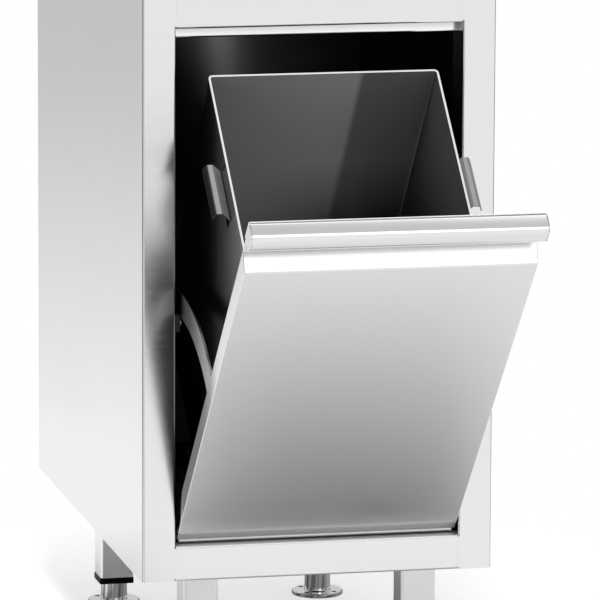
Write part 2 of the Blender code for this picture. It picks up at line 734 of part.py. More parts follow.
def make_bin(seat):
    """Bin of folded sheet with a hem round its rim, and a folded handle on each side."""
    height = bin_height()
    middle = (0, BIN_DEPTH / 2)

    def ring(inset, level):
        size = (2 * (BIN_HALF - inset), BIN_DEPTH - 2 * inset)
        return placed(rounded_rectangle(*size, BIN_CORNER_RADIUS - inset, middle), level, 2)

    rings = [
        ring(BIN_FOOT_RADIUS, 0),
        ring(0, BIN_FOOT_RADIUS),
        ring(0, height - BIN_HEM_HEIGHT),
        ring(-SHEET, height - BIN_HEM_HEIGHT),
        ring(-SHEET, height),
        ring(SHEET, height),
        ring(SHEET, SHEET + BIN_FOOT_RADIUS),
        ring(SHEET + BIN_FOOT_RADIUS, SHEET),
    ]
    add("bin_shell", loft(rings), STEEL, seat)

    wall = BIN_HALF + FIT
    root = height - HANDLE_BELOW_RIM
    top = root + HANDLE_RISE
    edge = wall + HANDLE_REACH - FIT
    path = [
        (edge, top - HANDLE_EDGE_DROP),
        (edge - HANDLE_EDGE_OUT, top),
        (edge - HANDLE_EDGE_OUT - HANDLE_TOP, top),
        (wall, root),
        (wall, root - HANDLE_FLANGE),
    ]
    start = (BIN_DEPTH - HANDLE_LENGTH) / 2
    for word, side in SIDES.items():
        outline = [(side * x, z) for x, z in plain_sheet(path)]
        add(f"bin_handle_{word}", prism(outline, start, start + HANDLE_LENGTH, axis=1), STEEL, seat)


def main():
    """Builds the cabinet with its front open."""
    for item in list(bpy.data.objects):
        bpy.data.objects.remove(item)
    middle = (CABINET_DEPTH + front_reach()) / 2
    cabinet = empty("cabinet", location=(0, -middle, FLOOR_CLEARANCE))
    pivot = empty("front_pivot", cabinet, (0, HINGE_SETBACK, HINGE_HEIGHT), TILT)
    seat = empty("bin_seat", pivot, (0, *BIN_CORNER), -LEAN)
    make_side_panels(cabinet)
    make_rails(cabinet)
    make_top_panel(cabinet)
    make_back_and_floor(cabinet)
    make_legs(cabinet)
    make_feet(cabinet)
    make_front_skin(pivot)
    make_inner_panel(pivot)
    make_grip(pivot)
    make_hinges(cabinet, pivot)
    make_stays(cabinet, pivot)
    make_carrier(pivot)
    make_bin(seat)


main()
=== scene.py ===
"""Looks of a stainless-steel waste bin cabinet with a tilt-out front.

Brushed steel, plastic and rubber on the CAD pieces, small fasteners, welds and trim beside them, a pale floor
and soft studio light. Lengths are in metres.
"""
from math import cos, pi, radians, sin

import bmesh
import bpy
from mathutils import Matrix, Vector


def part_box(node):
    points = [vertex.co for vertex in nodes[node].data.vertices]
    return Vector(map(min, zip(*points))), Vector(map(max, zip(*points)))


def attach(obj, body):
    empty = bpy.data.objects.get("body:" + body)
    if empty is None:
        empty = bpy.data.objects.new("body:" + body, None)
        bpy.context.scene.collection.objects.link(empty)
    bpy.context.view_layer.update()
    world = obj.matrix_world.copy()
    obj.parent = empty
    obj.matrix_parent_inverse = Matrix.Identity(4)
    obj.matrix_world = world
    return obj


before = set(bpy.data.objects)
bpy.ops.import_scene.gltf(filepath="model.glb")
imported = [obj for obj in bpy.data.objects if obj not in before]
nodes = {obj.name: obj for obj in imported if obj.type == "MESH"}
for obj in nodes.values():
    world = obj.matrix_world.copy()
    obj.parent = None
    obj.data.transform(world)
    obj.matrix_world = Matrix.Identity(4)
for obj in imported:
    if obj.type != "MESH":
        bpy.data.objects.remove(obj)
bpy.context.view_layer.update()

LEGS = ("front_left", "front_right", "rear_left", "rear_right")
SIDES = {"left": -1, "right": 1}
X_AXIS = Vector((1, 0, 0))
Y_AXIS = Vector((0, 1, 0))
Z_AXIS = Vector((0, 0, 1))

# Faces of the cabinet and edges of its opening
panel_low, panel_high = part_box("side_panel_left")
HALF_WIDTH = -panel_low.x
OPENING_HALF = -panel_high.x
FRONT_FACE = panel_low.y
SIDE_BACK = panel_high.y
BOTTOM = panel_low.z
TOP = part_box("top_panel")[1].z
BACK_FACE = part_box("back_panel")[1].y
OPENING_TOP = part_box("top_rail")[0].z
OPENING_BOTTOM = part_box("bottom_rail")[1].z
PLATE_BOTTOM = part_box("leg_plate_front_left")[0].z
INSERT_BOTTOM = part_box("leg_insert_front_left")[0].z

# Tilt of the open front and of the bin that it carries
FRONT_TILT = radians(44.5)
BIN_TILT = radians(40.7)

# Camera of the photograph
CAMERA_PLACE = (-1.503288, -6.753546, 1.680049)
CAMERA_YAW = 0.220094
CAMERA_PITCH = 0.177329
CAMERA_ROLL = 0.004627
FOCAL_PIXELS = 6213.344
PICTURE_PIXELS = 600
SENSOR = 36.0
VIEW_END = 100.0

# Floor, and the shadow's half size and fading round the cabinet
FLOOR_RADIUS = 1.7
FLOOR_SIDES = 96
FLOOR_TONE = 0.80
FLOOR_ROUGH = 0.8
FLOOR_LIFT = 0.58
SHADOW_HALF = (0.22, 0.52, 0.0)
SHADOW_FADE = 0.35
CARD_GLOW = 0.2

# Light of the studio, and the directions on a sphere of radius one where each goes over into the next
FRONT_LIGHT = 0.97
HIGH_FRONT_LIGHT = 0.75
FRONT_RISE = (0.05, 0.25)
SIDE_LIGHT = 0.40
FRONT_TO_SIDE = (-0.60, -0.20)
SIDE_TO_BACK = (0.20, 0.60)
BACK_LIGHT = 0.60
LOW_BACK_LIGHT = 1.02
BACK_RISE = (-0.20, -0.14)
DOWN_BACK_LIGHT = 0.62
DOWN_RISE = (-0.27, -0.225)
TOP_LIGHT = 0.66
TOP_RISE = (0.80, 0.94)
AMBIENT = 0.58

# Dark cards and their light, softbox and roof light: middle, half width and where each has faded out
FRONT_CARD = radians(-19)
SIDE_CARD = radians(-74)
CARDS = {SIDE_CARD: 0.06, FRONT_CARD: 0.20}
CARD_SIZE = (radians(9), radians(15))
SOFTBOX_LIGHT = 1.80
SOFTBOX_ACROSS = (radians(14), radians(8), radians(12))
SOFTBOX_HEIGHT = (0.55, 0.29, 0.41)
ROOF_LIGHT = 1.50
ROOF_ACROSS = (0.215, 0.08, 0.16)
ROOF_DEPTH = (0.11, 0.17, 0.25)

# Key lamp
KEY_PLACE = Vector((-0.45, -1.6, 3.2))
KEY_TARGET = Vector((0.0, -0.2, 0.3))
KEY_SIZE = (0.8, 1.2)
KEY_POWER = 102.0

# Bends and edges of the pieces
MERGE_DISTANCE = 0.00001
SMOOTH_ANGLE = radians(35)
EDGE_SEGMENTS = 2
FACE_WEIGHT = 100
SHEET_EDGE = 0.0003
RAIL_EDGE = 0.0001
HEM_EDGE = 0.0010

# Grain of the steel, per metre along and across it, and what it does to tone, roughness and relief
FINE_GRAIN = (14.0, 1800.0)
COARSE_GRAIN = (2.5, 300.0)
SMUDGE = 7.0
NOISE_RANGE = (0.3, 0.7)
STREAK_TONES = (0.990, 1.005)
GRAIN_ROUGH = 0.02
SMUDGE_ROUGH = 0.01
GRAIN_DEPTH = 0.0002

# Way across the grain of upright and of leaning pieces, with a small part along it
ACROSS_GRAIN = {"X": (0.03, 0.7, 0.7), "Y": (0.7, 0.03, 0.7), "Z": (0.7, 0.7, 0.03), "XY": (0.02, 0.03, 1.0)}
PART_ALONG = 0.03
ACROSS_LEANING = (1.0, 0.05, 0.03)

# Painted light and shade: bands round the stems, slopes of the handles, top of the grip and shades along the
# pieces
BAND_SCALE = 3.5
BAND_RANGE = (0.42, 0.58)
SLOPE = (0.2, 0.5)
SLOPE_METAL = 0.2
SLOPE_SHINE = 0.2
GRIP_CREST = 0.6146
CREST_LIGHT = 0.62
PLAIN_BEYOND = 0.1586
# Painted shade on the stop strip's top, the low rail's bend, the inner panel's bottom, the stays' rear and
# the front legs
STRIP_SHADE = (OPENING_TOP, OPENING_TOP - 0.010)
RAIL_SHADE = (OPENING_BOTTOM - 0.0010, OPENING_BOTTOM - 0.0035)
INNER_SHADE = (0.43, 0.53)
STAY_SHADE = (-0.18, -0.24)
LEG_SHADE = (0.1, 0.3)

# Painted shade for the cabinet's unlit inside: it starts within the sheet, behind the stiles' folds and the
# rails' bends
INSIDE_SHADE_SKIN = 0.0006
STILE_INSET = 0.0020
STILE_DEPTH = 0.0502
RAIL_DEPTH = 0.0014
SIDE_REAR = SIDE_BACK - INSIDE_SHADE_SKIN
BACK_REAR = BACK_FACE - INSIDE_SHADE_SKIN

# Bin in its own upright frame, from its lower front corner
BIN_CORNER = (0.0, -0.123524, 0.240997)
BIN_HALF = 0.1287
BIN_DEPTH = 0.294
BIN_SKIN = 0.0006
BIN_RIM = 0.3774
BIN_REAR_FACE = 0.289
BIN_SIDE_FACE = 0.1265

# Painted shade and reflections in the bin, some as pairs from low to high on a wall, and the places where
# they change
RIM_HIGHLIGHT = 0.72
BIN_METAL = 0.1
BIN_PLAIN = 0.30
REAR_SHADE = (0.13, 0.23)
REAR_EDGE = (0.040, 0.047)
REAR_LEFT = (0.50, 0.34)
REAR_NEAR = (0.14, 0.54)
REAR_RIGHT = (0.01, 0.21)
SIDE_SHADE = (0.20, 0.34)
SIDE_TONES = (0.015, 0.10)

# Thread of the spindles: a wave that has this period at scale one, and starts just inside the leg insert
WAVE_PERIOD = pi / 10
THREAD_PITCH = 0.00175
THREAD_DEPTH = 0.0006
THREAD_START = INSERT_BOTTOM + 0.0002

# Plastic and rubber
MOULD_GRAIN = 900.0
MOULD_CLOUD = 40.0
CLOUD_GAIN = 1.25
CLOUD_LIFT = 0.002
MOULD_ROUGH = 0.08
MOULD_RELIEF = 0.25

# Fasteners: radius and height of each ring of a head, and the places of the heads
PIECE_GAP = 0.0001
HEAD_SIDES = 20
BOLT_PROFILE = ((0.0058, 0.0), (0.0057, 0.0004), (0.0044, 0.0011), (0.0024, 0.0013), (0.0021, 0.0004))
BOLT_OFFSET = 0.029
RIVET_PROFILE = ((0.0046, 0.0), (0.0045, 0.0005), (0.0036, 0.0012), (0.0017, 0.0014), (0.0015, 0.0009))
RIVET_INSET = 0.0095
RIVET_FIRST = 0.05
RIVET_STEP = 0.14
RIVET_COUNT = 5

# Weld bead round a leg: offset from the leg and drop below its plate of each point of its section
BEAD_PROFILE = ((0.0001, 0.0001), (0.0026, 0.0001), (0.0023, 0.0013), (0.0013, 0.0023), (0.0001, 0.0026))
BEAD_RIPPLE = 0.0003
BEAD_STEPS = 16
BEAD_CORNER_STEPS = 4
LEG_CORNER = 0.0035

# Ground seams beside the front rails
FOLD_RADIUS = 0.0027
SEAM_GAP = 0.00005
SEAM_SINK = 0.00003
SEAM_INSET = 0.0026
SEAM_STEPS = 6

# Rolled lower edge of the front, placed from the hinge in the front's own frame
ROLL_PLACE = (-0.0041, -0.01215)
ROLL_RADIUS = 0.0025
ROLL_SIDES = 24
ROLL_HALF = 0.1570
ROLL_END = 0.0008
ROLL_END_SHARE = 0.6

# Places of the colours among the sockets of a mix node
FIRST_COLOUR = 6
SECOND_COLOUR = 7
MIXED_COLOUR = 2


def grey(level):
    """Colour of a plain grey."""
    return (level, level, level, 1.0)


def stretched(grain, along):
    """Noise per metre on each axis: little along the grain and much across it."""
    lengthwise, crosswise = grain
    return [lengthwise if axis in along else crosswise for axis in "XYZ"]


class Nodes:
    """Short ways to add and join the nodes of a tree."""

    def __init__(self, tree):
        self.tree = tree

    def add(self, kind, inputs=None, **settings):
        """New node with its settings and inputs."""
        node = self.tree.nodes.new(kind)
        for key, value in settings.items():
            setattr(node, key, value)
        for key, value in (inputs or {}).items():
            self.feed(node, key, value)
        return node

    def feed(self, node, key, value):
        """Joins a socket to an input, or sets the input's own value."""
        if isinstance(value, bpy.types.NodeSocket):
            self.tree.links.new(value, node.inputs[key])
        else:
            node.inputs[key].default_value = value

    def split(self, vector):
        """The three parts of a vector."""
        return self.add("ShaderNodeSeparateXYZ", {"Vector": vector}).outputs

    def math(self, operation, first, second=0.0):
        """Result of a sum or a test."""
        node = self.add("ShaderNodeMath", operation=operation)
        self.feed(node, 0, first)
        self.feed(node, 1, second)
        return node.outputs[0]

    def vectors(self, operation, *vectors, result="Vector"):
        """Result of a sum of vectors."""
        return self.add("ShaderNodeVectorMath", dict(enumerate(vectors)), operation=operation).outputs[result]

    def product(self, first, *others):
        """Product of values."""
        for other in others:
            first = self.math("MULTIPLY", first, other)
        return first

    def spread(self, value, low, high, start=0.0, stop=1.0):
        """Value that goes from low at start to high at stop, and no further."""
        inputs = {"Value": value, "From Min": start, "From Max": stop, "To Min": low, "To Max": high}
        return self.add("ShaderNodeMapRange", inputs).outputs["Result"]

    def rise(self, value, start, stop):
        """Nothing at start and one at stop."""
        return self.spread(value, 0.0, 1.0, start, stop)

    def band(self, value, middle, half, fade):
        """One near a middle value, falling to nothing between half and fade away from it."""
        away = self.math("ABSOLUTE", self.math("SUBTRACT", value, middle))
        return self.spread(away, 1.0, 0.0, half, fade)

    def azimuth(self, split):
        """Angle of a direction round the vertical, from the front towards the right."""
        return self.math("ARCTAN2", split["X"], self.math("MULTIPLY", split["Y"], -1.0))

    def blend(self, factor, first, second):
        """Colour between two others."""
        node = self.add("ShaderNodeMix", {"Factor": factor}, data_type="RGBA")
        self.feed(node, FIRST_COLOUR, first)
        self.feed(node, SECOND_COLOUR, second)
        return node.outputs[MIXED_COLOUR]


class Shader(Nodes):
    """Nodes of a new material."""

    def __init__(self, name):
        self.material = bpy.data.materials.new(name)
        self.material.use_nodes = True
        super().__init__(self.material.node_tree)
        self.principled = self.tree.nodes["Principled BSDF"]
        self.coordinates = self.add("ShaderNodeTexCoord").outputs
        self.place = self.coordinates["Object"]

    def set(self, **inputs):
        """Sets or joins inputs of the shader, with a low line for each space in a name."""
        for key, value in inputs.items():
            self.feed(self.principled, key.replace("_", " "), value)

    def noise(self, stretch, detail, turn=0.0):
        """Noise stretched along the axes of a piece that is turned about X."""
        mapped = self.add("ShaderNodeMapping", {"Vector": self.place, "Rotation": (turn, 0, 0)}).outputs[0]
        mapped = self.add("ShaderNodeMapping", {"Vector": mapped, "Scale": stretch}).outputs[0]
        inputs = {"Vector": mapped, "Scale": 1.0, "Detail": detail}
        return self.add("ShaderNodeTexNoise", inputs).outputs["Fac"]

    def bump(self, height, strength, depth):
        """Relief of the surface."""
        inputs = {"Height": height, "Strength": strength, "Distance": depth}
        self.set(Normal=self.add("ShaderNodeBump", inputs).outputs["Normal"])


class Steel(Shader):
    """Brushed stainless steel whose grain runs along one or two axes of its piece.

    Turn is the tilt of a leaning piece. Each method paints one thing more and hands the steel on, and done
    joins what was painted to the shader.
    """

    def __init__(self, name, along, turn=0.0, tone=0.82, rough=0.24, streaks=0.6, relief=0.04):
        super().__init__(name)
        grain = self.noise(stretched(FINE_GRAIN, along), detail=2.0, turn=-turn)
        streak = self.noise(stretched(COARSE_GRAIN, along), detail=3.0, turn=-turn)
        smudge = self.noise((SMUDGE, SMUDGE, SMUDGE), detail=3.0)
        dark, light = (grey(tone * share) for share in STREAK_TONES)
        self.colour = self.blend(self.rise(streak, *NOISE_RANGE), dark, light)
        grained = self.spread(grain, rough - GRAIN_ROUGH, rough + GRAIN_ROUGH, *NOISE_RANGE)
        smudged = self.spread(smudge, -SMUDGE_ROUGH, SMUDGE_ROUGH, *NOISE_RANGE)
        self.roughness = self.math("ADD", grained, smudged)
        self.rough = rough
        self.metal = 1.0
        self.streaks = streaks
        self.relief = (grain, relief, GRAIN_DEPTH)
        self.across = ACROSS_GRAIN[along]
        if turn:
            self.across = {"X": (PART_ALONG, -sin(turn), cos(turn)), "Z": ACROSS_LEANING}[along]

    def shaded(self, axis, start, stop, first):
        """Painted shade: a darker tone at the start along an axis that goes over into the steel's own at the
        stop.
        """
        place = self.split(self.place)[axis]
        self.colour = self.blend(self.rise(place, start, stop), grey(first), self.colour)
        return self

    def painted_reflection_bands(self, dark):
        """Painted reflection: dark bands round a turned piece, for the light and dark that it mirrors."""
        inputs = {"Vector": self.coordinates["Normal"], "Scale": BAND_SCALE, "Detail": 2.0}
        band = self.add("ShaderNodeTexNoise", inputs).outputs["Fac"]
        self.colour = self.blend(self.rise(band, *BAND_RANGE), grey(dark), self.colour)
        return self

    def painted_slope_reflections(self, outer, inner):
        """Painted reflections on a handle's two slopes: the outer one leans away from the bin, the inner one
        towards it.
        """
        side = self.math("SIGN", self.split(self.place)["X"])
        lean = self.math("MULTIPLY", self.split(self.coordinates["Normal"])["X"], side)
        slight, full = SLOPE
        away = self.rise(lean, slight, full)
        towards = self.spread(lean, 1.0, 0.0, -full, -slight)
        self.colour = self.blend(away, self.colour, grey(outer))
        self.colour = self.blend(towards, self.colour, grey(inner))
        self.metal = self.spread(towards, 1.0, SLOPE_METAL)
        self.set(Specular_Tint=grey(SLOPE_SHINE))
        return self

    def painted_light_above(self, height):
        """Painted light: pale and without metal above a height, in place of a dark reflection."""
        top = self.math("GREATER_THAN", self.split(self.place)["Z"], height)
        self.colour = self.blend(top, self.colour, grey(CREST_LIGHT))
        self.metal = self.spread(top, 1.0, 0.0)
        return self

    def plain_beyond(self, across):
        """About half as rough and without streaks beyond a place on either side."""
        smooth = self.math("GREATER_THAN", self.math("ABSOLUTE", self.split(self.place)["X"]), across)
        self.roughness = self.math("SUBTRACT", self.roughness, self.math("MULTIPLY", smooth, self.rough / 2))
        self.streaks = self.spread(smooth, self.streaks, 0.0)
        return self

    def painted_inside_shade(self, rear, depth=STILE_DEPTH, tone=0.010, metal=0.0, dull=0.4):
        """Painted shade of the unlit inside, which starts at a depth in the opening and ends at the rear."""
        mask = inside_cabinet(self, rear, depth)
        self.colour = self.blend(mask, self.colour, grey(tone))
        self.roughness = self.math("ADD", self.roughness, self.math("MULTIPLY", mask, dull))
        self.metal = self.spread(mask, 1.0, metal)
        return self

    def bin_shade_and_highlight(self):
        """Painted shade and reflections inside the bin, mostly without metal, and a painted highlight on its
        rim.
        """
        own = bin_place(self)
        inside = inside_bin(self, own)
        rim = self.math("GREATER_THAN", own["Z"], BIN_RIM)
        self.colour = self.blend(inside, self.colour, bin_tone(self, own))
        self.colour = self.blend(rim, self.colour, grey(RIM_HIGHLIGHT))
        self.metal = self.spread(self.math("SUBTRACT", inside, rim), 1.0, BIN_METAL)
        return self

    def threaded(self):
        """Screw thread of a spindle above the stem of its foot, in place of the grain's relief."""
        inputs = {"Vector": self.place, "Scale": WAVE_PERIOD / THREAD_PITCH, "Distortion": 0.0}
        turns = self.add("ShaderNodeTexWave", inputs, bands_direction="Z").outputs["Fac"]
        above = self.math("GREATER_THAN", self.split(self.place)["Z"], THREAD_START)
        self.relief = (self.math("MULTIPLY", turns, above), 1.0, THREAD_DEPTH)
        return self

    def done(self):
        """The finished material."""
        ways = {"convert_from": "OBJECT", "convert_to": "WORLD"}
        across = self.add("ShaderNodeVectorTransform", {"Vector": self.across}, **ways).outputs[0]
        self.set(Base_Color=self.colour, Roughness=self.roughness, Metallic=self.metal)
        self.set(Anisotropic=self.streaks, Tangent=across)
        self.bump(*self.relief)
        return self.material


def inside_cabinet(steel, rear, depth):
    """One on the faces that look into the cabinet, nothing on its outside and the opening's front edges."""
    split = steel.split(steel.place)
    across = steel.math("ABSOLUTE", split["X"])
    behind = steel.math("GREATER_THAN", split["Y"], FRONT_FACE + depth)
    beside = steel.math("GREATER_THAN", across, OPENING_HALF + STILE_INSET)
    return steel.product(
        steel.math("LESS_THAN", across, HALF_WIDTH - INSIDE_SHADE_SKIN),
        steel.math("GREATER_THAN", split["Y"], FRONT_FACE + INSIDE_SHADE_SKIN),
        steel.math("LESS_THAN", split["Y"], rear),
        steel.math("GREATER_THAN", split["Z"], BOTTOM + INSIDE_SHADE_SKIN),
        steel.math("LESS_THAN", split["Z"], TOP - INSIDE_SHADE_SKIN),
        steel.math("MAXIMUM", beside, behind),
    )


def bin_place(steel):
    """Places across the bin, along its depth and up its height."""
    offset = steel.vectors("SUBTRACT", steel.place, BIN_CORNER)
    inputs = {"Vector": offset, "Rotation": (-BIN_TILT, 0, 0)}
    return steel.split(steel.add("ShaderNodeMapping", inputs).outputs[0])


def inside_bin(steel, own):
    """One on the faces that look into the bin."""
    return steel.product(
        steel.math("LESS_THAN", steel.math("ABSOLUTE", own["X"]), BIN_HALF - BIN_SKIN),
        steel.math("GREATER_THAN", own["Y"], BIN_SKIN),
        steel.math("LESS_THAN", own["Y"], BIN_DEPTH - BIN_SKIN),
        steel.math("GREATER_THAN", own["Z"], BIN_SKIN),
    )


def bin_tone(steel, own):
    """Painted reflection and shade in the bin: a rear wall darker right of an edge, a dark right wall, a
    plain rest.
    """
    height = steel.rise(own["Z"], *REAR_SHADE)
    pairs = (REAR_LEFT, REAR_NEAR, REAR_RIGHT)
    left, near, right = (steel.blend(height, grey(low), grey(high)) for low, high in pairs)
    left = steel.blend(steel.rise(own["X"], -BIN_HALF, REAR_EDGE[0]), left, near)
    rear = steel.blend(steel.rise(own["X"], *REAR_EDGE), left, right)
    tone = steel.blend(steel.math("GREATER_THAN", own["Y"], BIN_REAR_FACE), grey(BIN_PLAIN), rear)
    low, high = SIDE_TONES
    side = steel.blend(steel.rise(own["Z"], *SIDE_SHADE), grey(low), grey(high))
    return steel.blend(steel.math("GREATER_THAN", own["X"], BIN_SIDE_FACE), tone, side)


def moulded(name, colour, rough, shine=0.5):
    """Moulded plastic or rubber with a fine grain."""
    shader = Shader(name)
    grain = shader.noise((MOULD_GRAIN, MOULD_GRAIN, MOULD_GRAIN), detail=3.0)
    cloud = shader.noise((MOULD_CLOUD, MOULD_CLOUD, MOULD_CLOUD), detail=2.0)
    light = tuple(min(1.0, value * CLOUD_GAIN + CLOUD_LIFT) for value in colour)
    shader.set(Base_Color=shader.blend(cloud, (*colour, 1.0), (*light, 1.0)), Specular_IOR_Level=shine)
    shader.set(Roughness=shader.spread(grain, rough - MOULD_ROUGH, rough + MOULD_ROUGH, *NOISE_RANGE))
    shader.bump(grain, MOULD_RELIEF, GRAIN_DEPTH)
    return shader.material


def make_smoothing():
    """Modifier tree that joins the faces of a piece and shades its bends smooth."""
    group = bpy.data.node_groups.new("smooth_bends", "GeometryNodeTree")
    group.interface.new_socket("Geometry", in_out="INPUT", socket_type="NodeSocketGeometry")
    group.interface.new_socket("Geometry", in_out="OUTPUT", socket_type="NodeSocketGeometry")
    tree = Nodes(group)
    start = tree.add("NodeGroupInput").outputs[0]
    inputs = {"Geometry": start, "Distance": MERGE_DISTANCE}
    joined = tree.add("GeometryNodeMergeByDistance", inputs).outputs[0]
    inputs = {"Geometry": joined, "Name": "custom_normal"}
    bare = tree.add("GeometryNodeRemoveAttribute", inputs).outputs[0]
    inputs = {"Geometry": bare, "Shade Smooth": True}
    smooth = tree.add("GeometryNodeSetShadeSmooth", inputs, domain="FACE").outputs[0]
    angle = tree.add("GeometryNodeInputMeshEdgeAngle").outputs["Unsigned Angle"]
    sharp = tree.math("GREATER_THAN", angle, SMOOTH_ANGLE)
    inputs = {"Geometry": smooth, "Selection": sharp, "Shade Smooth": False}
    creased = tree.add("GeometryNodeSetShadeSmooth", inputs, domain="EDGE").outputs[0]
    tree.feed(tree.add("NodeGroupOutput"), 0, creased)
    return group


smoothing = make_smoothing()


def finish_edges(item, material, edge):
    """Gives a piece its material, smooth bends and slightly broken edges."""
    item.data.materials.append(material)
    item.modifiers.new("smooth", "NODES").node_group = smoothing
    bevel = item.modifiers.new("edges", "BEVEL")
    bevel.width = edge
    bevel.segments = EDGE_SEGMENTS
    bevel.limit_method = "ANGLE"
    bevel.angle_limit = SMOOTH_ANGLE
    flat = item.modifiers.new("flat_faces", "WEIGHTED_NORMAL")
    flat.weight = FACE_WEIGHT
    flat.keep_sharp = True


def dress(material, *names, edge=SHEET_EDGE):
    """Gives CAD nodes a material, smooth bends and slightly broken edges."""
    for name in names:
        nodes[name].data.materials.clear()
        finish_edges(nodes[name], material, edge)


# Steel of the cabinet
FLAT = {"rough": 0.16, "streaks": 0.3}
# Painted shade inside: near black on the sides, top and floor, darker steel on the back, rougher steel on the
# rails
RAIL_INSIDE_SHADE = {"depth": RAIL_DEPTH, "tone": 0.80, "metal": 1.0}
upright = Steel("steel_upright", "XY", **FLAT).painted_inside_shade(SIDE_REAR).done()
back_sheet = Steel("steel_back", "XY", **FLAT).painted_inside_shade(BACK_REAR, tone=0.29, metal=1.0, dull=0.0).done()
deep = Steel("steel_deep", "Y", **FLAT).painted_inside_shade(BACK_REAR).done()
strip = Steel("steel_across", "X", tone=0.95, **FLAT).shaded("Z", *STRIP_SHADE, first=0.55).done()
rail_sheet = Steel("steel_rail", "X", **FLAT).painted_inside_shade(BACK_REAR, **RAIL_INSIDE_SHADE).done()
low_rail_sheet = (
    Steel("steel_low_rail", "X", **FLAT)
    .shaded("Z", *RAIL_SHADE, first=0.40)
    .painted_inside_shade(BACK_REAR, **RAIL_INSIDE_SHADE)
    .done()
)
leg_steel = Steel("steel_leg", "Z", tone=0.98, rough=0.22).shaded("Y", *LEG_SHADE, first=0.70).done()
foot_steel = Steel("steel_foot", "Z", tone=0.95, rough=0.18, streaks=0.0).painted_reflection_bands(dark=0.25).threaded().done()
# Dark steel on the stop blocks: painted shade
stop_steel = Steel("steel_stop", "Z", tone=0.14, rough=0.30).done()
bright = Steel("steel_bright", "Z", tone=0.84, rough=0.18).done()

# Steel of the front
front_sheet = Steel("steel_front", "Z", FRONT_TILT).painted_light_above(GRIP_CREST).plain_beyond(PLAIN_BEYOND).done()
rest_steel = Steel("steel_front_across", "X", FRONT_TILT, rough=0.11, streaks=0.0).done()
grip_steel = Steel("steel_grip", "X", FRONT_TILT, rough=0.11, streaks=0.0).painted_light_above(GRIP_CREST).done()
inner_sheet = Steel("steel_inner", "Z", FRONT_TILT, tone=0.78).shaded("Z", *INNER_SHADE, first=0.10).done()
stay_steel = Steel("steel_stay", "Z", tone=0.60, rough=0.20).shaded("Y", *STAY_SHADE, first=0.10).done()
roll_steel = Steel("steel_roll", "X", FRONT_TILT, tone=0.75, rough=0.45, streaks=0.0).done()

# Steel of the bin, given a darker tone than the cabinet's as painted shade, and darker still on the handles
HANDLE = {"tone": 0.25, "rough": 0.12, "streaks": 0.0}
bin_sheet = Steel("steel_bin", "Z", BIN_TILT, tone=0.36, relief=0.0).bin_shade_and_highlight().done()
# Painted reflections: the left handle's outer slope is dark and the right one's light
left_handle = Steel("steel_handle_left", "Z", BIN_TILT, **HANDLE).painted_slope_reflections(outer=0.06, inner=0.20).done()
right_handle = Steel("steel_handle_right", "Z", BIN_TILT, **HANDLE).painted_slope_reflections(outer=0.75, inner=0.20).done()

# Moulded pieces
black = moulded("plastic_black", (0.003, 0.003, 0.003), rough=0.30, shine=0.04)
white = moulded("plastic_white", (0.72, 0.72, 0.68), rough=0.50)
rubber = moulded("rubber_black", (0.02, 0.02, 0.02), rough=0.75)

# Dress of the cabinet and the feet
dress(upright, "side_panel_left", "side_panel_right")
dress(back_sheet, "back_panel")
dress(deep, "top_panel", "floor_panel", "floor_stiffener")
dress(strip, "front_stop_strip")
dress(rail_sheet, "top_rail", edge=RAIL_EDGE)
dress(low_rail_sheet, "bottom_rail", edge=RAIL_EDGE)
dress(leg_steel, *(f"{word}_{leg}" for word in ("leg", "leg_plate") for leg in LEGS))
dress(foot_steel, *(f"foot_{leg}" for leg in LEGS))
dress(stop_steel, *(f"stop_block_{side}" for side in SIDES))
dress(bright, *(f"{word}_{side}" for word in ("hinge_pin", "stop_screw") for side in SIDES))
dress(black, *(f"leg_insert_{leg}" for leg in LEGS), *(f"hinge_washer_{side}" for side in SIDES))
dress(rubber, *(f"stop_buffer_{side}" for side in SIDES))

# Dress of the front and the bin
dress(front_sheet, "front_skin", "grip_end_left", "grip_end_right")
dress(grip_steel, "pull_grip")
dress(rest_steel, "bin_rest_rail")
dress(inner_sheet, "front_inner_panel", "carrier_base", "carrier_cheek_left", "carrier_cheek_right")
dress(stay_steel, *(f"stay_arm_{side}" for side in SIDES))
dress(bright, "carrier_rivet_left", "carrier_rivet_middle", "carrier_rivet_right")
dress(white, *(f"hinge_block_{side}" for side in SIDES))
dress(bin_sheet, "bin_shell", edge=HEM_EDGE)
dress(left_handle, "bin_handle_left")
dress(right_handle, "bin_handle_right")


def loft(rings, closed=False):
    """Vertices and faces of a body through rings of points: capped at its ends, or closed to a ring."""
    count = len(rings[0])
    points = [point for ring in rings for point in ring]
    faces = []
    for row in range(len(rings) if closed else len(rings) - 1):
        here = row * count
        after = (row + 1) % len(rings) * count
        for spot in range(count):
            beside = (spot + 1) % count
            faces.append((here + spot, here + beside, after + beside, after + spot))
    if not closed:
        faces.append(tuple(range(count))[::-1])
        faces.append(tuple((len(rings) - 1) * count + spot for spot in range(count)))
    return points, faces


def circle(radius, sides):
    """Points round a circle."""
    turns = [2 * pi * step / sides for step in range(sides)]
    return [(radius * cos(turn), radius * sin(turn)) for turn in turns]


def head(profile, base, across, up, along):
    """Head of a fastener: its rings lie across and up, and follow each other along its axis from the base."""
    rings = []
    for radius, height in profile:
        middle = base + along * height
        rings.append([tuple(middle + across * x + up * y) for x, y in circle(radius, HEAD_SIDES)])
    return loft(rings)


